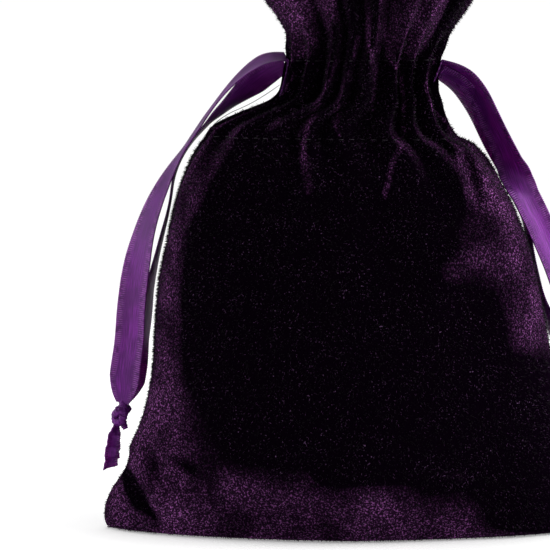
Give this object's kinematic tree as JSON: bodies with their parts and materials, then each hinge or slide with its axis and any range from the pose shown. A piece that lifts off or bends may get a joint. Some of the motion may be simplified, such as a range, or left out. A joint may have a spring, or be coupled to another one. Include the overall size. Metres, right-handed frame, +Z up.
{
  "type": "drawstring pouch",
  "caption": "Upright velvet drawstring pouch with a gathered neck, a ruffled header and satin ribbons knotted at both sides.",
  "frame": {"origin": "on the floor, under the middle of the pouch's bounding box, ribbons left out", "axes": "+Z up along the pouch's height, -Y out of the front panel, +X to the right seen from the front"},
  "size_m": [0.1019, 0.0468, 0.119],
  "materials": {
    "velvet": "dark purple pile velvet, nearly black face on, bright purple sheen at grazing angles",
    "velvet_inside": "matt knitted back of the velvet",
    "ribbon": "glossy purple satin with woven selvages",
    "thread": "dark sewing thread"
  },
  "bodies": {
    "pouch": {"front_panel": "velvet", "back_panel": "velvet", "bottom_fold": "velvet", "left_seam_allowance": "velvet_inside", "right_seam_allowance": "velvet_inside", "left_seam_thread": "thread", "right_seam_thread": "thread"},
    "mouth_front": {"front_casing": "velvet", "front_header": "velvet", "front_facing": "velvet_inside", "front_lower_stitching": "thread", "front_upper_stitching": "thread", "left_ribbon_front_run": "ribbon", "right_ribbon_front_run": "ribbon"},
    "mouth_back": {"back_casing": "velvet", "back_header": "velvet", "back_facing": "velvet_inside", "back_lower_stitching": "thread", "back_upper_stitching": "thread", "left_ribbon_back_run": "ribbon", "right_ribbon_back_run": "ribbon"},
    "left_drawstring": {"left_ribbon_front_tail": "ribbon", "left_ribbon_back_tail": "ribbon"},
    "left_knot": {"left_knot": "ribbon", "left_ribbon_front_end": "ribbon", "left_ribbon_back_end": "ribbon"},
    "right_drawstring": {"right_ribbon_front_tail": "ribbon", "right_ribbon_back_tail": "ribbon"},
    "right_knot": {"right_knot": "ribbon", "right_ribbon_front_end": "ribbon", "right_ribbon_back_end": "ribbon"}
  },
  "joints": [
    {"name": "mouth_front_open", "type": "hinge", "parent": "pouch", "child": "mouth_front", "pos_m": [0, -0.0164, 0.076], "axis": [1, 0, 0], "range_deg": [0, 26]},
    {"name": "mouth_back_open", "type": "hinge", "parent": "pouch", "child": "mouth_back", "pos_m": [0, 0.0164, 0.076], "axis": [-1, 0, 0], "range_deg": [0, 26.5]},
    {"name": "left_drawstring_swing", "type": "hinge", "parent": "pouch", "child": "left_drawstring", "pos_m": [-0.015, 0, 0.0922], "axis": [0, 1, 0], "range_deg": [0, 60]},
    {"name": "left_knot_draw", "type": "slide", "parent": "left_drawstring", "child": "left_knot", "axis": [0, 0, 1], "range_m": [0, 0.0165], "deforming": ["left_ribbon_front_tail", "left_ribbon_back_tail"]},
    {"name": "right_drawstring_swing", "type": "hinge", "parent": "pouch", "child": "right_drawstring", "pos_m": [0.0178, 0, 0.0918], "axis": [0, -1, 0], "range_deg": [0, 60]},
    {"name": "right_knot_draw", "type": "slide", "parent": "right_drawstring", "child": "right_knot", "axis": [0, 0, 1], "range_m": [0, 0.0165], "deforming": ["right_ribbon_front_tail", "right_ribbon_back_tail"]}
  ],
  "couplings": [
    {"joint": "mouth_back_open", "follows": "mouth_front_open", "ratio": 1},
    {"joint": "left_knot_draw", "follows": "mouth_front_open", "m_per_rad": 0.035259},
    {"joint": "right_knot_draw", "follows": "mouth_front_open", "m_per_rad": 0.035259}
  ]
}
